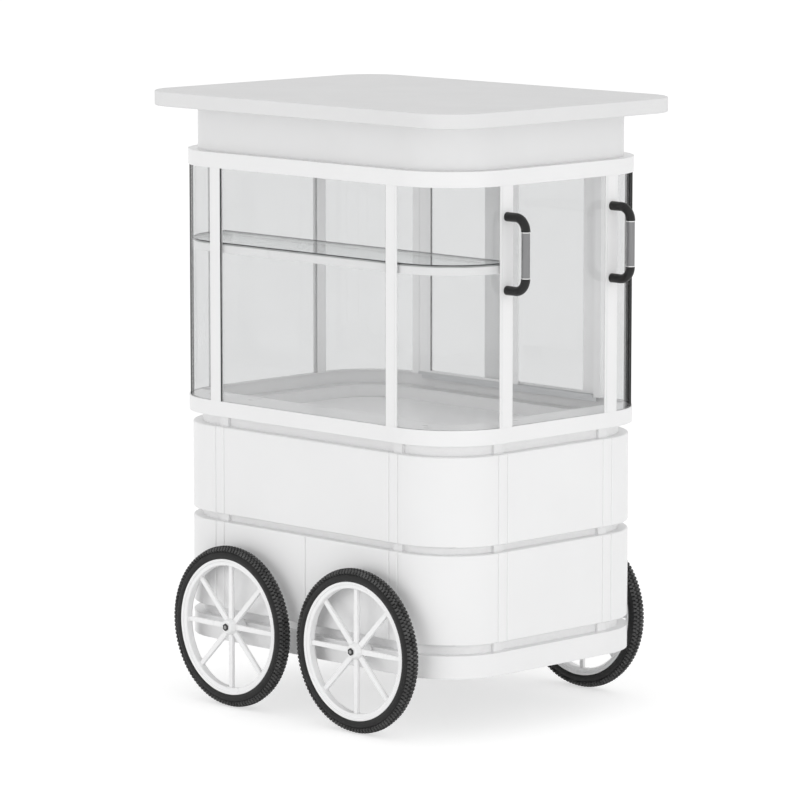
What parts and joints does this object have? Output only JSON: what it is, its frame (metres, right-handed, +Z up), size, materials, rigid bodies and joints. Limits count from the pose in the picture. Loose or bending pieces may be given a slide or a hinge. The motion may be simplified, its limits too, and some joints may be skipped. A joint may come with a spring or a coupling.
{
  "type": "snack cart",
  "caption": "Wheeled snack cart with a rounded glazed display case on a panelled cupboard body, sliding rear glass doors, a flat roof, spoked wheels and push handles.",
  "frame": {"origin": "on the floor, midway between the four wheels", "axes": "+X along the long side towards the push handles, +Y towards the vendor's side with the sliding doors, +Z up; the customer side faces -Y"},
  "size_m": [1.4365, 1.082, 1.9099],
  "materials": {
    "white_metal": "satin white paint on folded sheet",
    "white_board": "satin white lacquer on board",
    "clear_glass": "clear, polished edges",
    "shelf_glass": "clear, dark polished edge",
    "steel": "brushed",
    "wheel_white": "gloss white paint on cast alloy",
    "tyre": "matte black rubber",
    "black_plastic": "fine grained black",
    "grip_metal": "satin brushed tube",
    "track_metal": "satin anodised"
  },
  "bodies": {
    "cart": {"base_frame": "white_metal", "axle_left": "steel", "axle_right": "steel", "axle_nuts": "steel", "cabinet_shell": "white_board", "bottom_board": "white_board", "cupboard_floor": "white_board", "display_deck": "white_board", "uprights": "white_metal", "upper_strips": "white_metal", "lower_strips": "white_metal", "upper_front_panel": "white_metal", "upper_side_panels": "white_metal", "upper_corner_panels": "white_metal", "lower_front_panels": "white_metal", "lower_back_panels": "white_metal", "lower_side_panels": "white_metal", "lower_corner_panels": "white_metal", "counter_ring": "white_metal", "counter_shelf": "white_metal", "front_posts": "white_metal", "side_posts": "white_metal", "back_posts": "white_metal", "front_glass": "clear_glass", "left_glass": "clear_glass", "right_glass": "clear_glass", "corner_glass": "clear_glass", "top_ring": "white_metal", "ceiling_panel": "white_board", "sign_fascia": "white_metal", "roof_panel": "white_metal", "shelf_rim": "white_metal", "shelf_glass": "shelf_glass", "handle_elbows": "black_plastic", "handle_grips": "grip_metal", "bottom_track": "track_metal", "top_track": "track_metal", "hinge_fixed_leaves": "steel", "hinge_pins": "steel"},
    "wheel_front_left": {"wheel_front_left_rim": "wheel_white", "wheel_front_left_tyre": "tyre"},
    "wheel_front_right": {"wheel_front_right_rim": "wheel_white", "wheel_front_right_tyre": "tyre"},
    "wheel_back_left": {"wheel_back_left_rim": "wheel_white", "wheel_back_left_tyre": "tyre"},
    "wheel_back_right": {"wheel_back_right_rim": "wheel_white", "wheel_back_right_tyre": "tyre"},
    "slide_door_left": {"slide_door_left_frame": "white_metal", "slide_door_left_glass": "clear_glass", "slide_door_left_pull": "black_plastic"},
    "slide_door_right": {"slide_door_right_frame": "white_metal", "slide_door_right_glass": "clear_glass", "slide_door_right_pull": "black_plastic"},
    "cupboard_door_left": {"cupboard_door_left": "white_board", "cupboard_door_left_pull": "black_plastic", "cupboard_door_left_hinge_leaves": "steel"},
    "cupboard_door_right": {"cupboard_door_right": "white_board", "cupboard_door_right_pull": "black_plastic", "cupboard_door_right_hinge_leaves": "steel"}
  },
  "joints": [
    {"name": "wheel_front_left_spin", "type": "hinge", "parent": "cart", "child": "wheel_front_left", "pos_m": [-0.28, -0.503, 0.254], "axis": [0, 1, 0], "continuous": true},
    {"name": "wheel_front_right_spin", "type": "hinge", "parent": "cart", "child": "wheel_front_right", "pos_m": [0.28, -0.503, 0.254], "axis": [0, 1, 0], "continuous": true},
    {"name": "wheel_back_left_spin", "type": "hinge", "parent": "cart", "child": "wheel_back_left", "pos_m": [-0.28, 0.503, 0.254], "axis": [0, 1, 0], "continuous": true},
    {"name": "wheel_back_right_spin", "type": "hinge", "parent": "cart", "child": "wheel_back_right", "pos_m": [0.28, 0.503, 0.254], "axis": [0, 1, 0], "continuous": true},
    {"name": "slide_door_left_slide", "type": "slide", "parent": "cart", "child": "slide_door_left", "axis": [1, 0, 0], "range_m": [0, 0.31]},
    {"name": "slide_door_right_slide", "type": "slide", "parent": "cart", "child": "slide_door_right", "axis": [-1, 0, 0], "range_m": [0, 0.31]},
    {"name": "cupboard_door_left_hinge", "type": "hinge", "parent": "cart", "child": "cupboard_door_left", "pos_m": [-0.367, 0.4585, 0.73], "axis": [0, 0, 1], "range_deg": [0, 110]},
    {"name": "cupboard_door_right_hinge", "type": "hinge", "parent": "cart", "child": "cupboard_door_right", "pos_m": [0.367, 0.4585, 0.73], "axis": [0, 0, -1], "range_deg": [0, 110]}
  ]
}
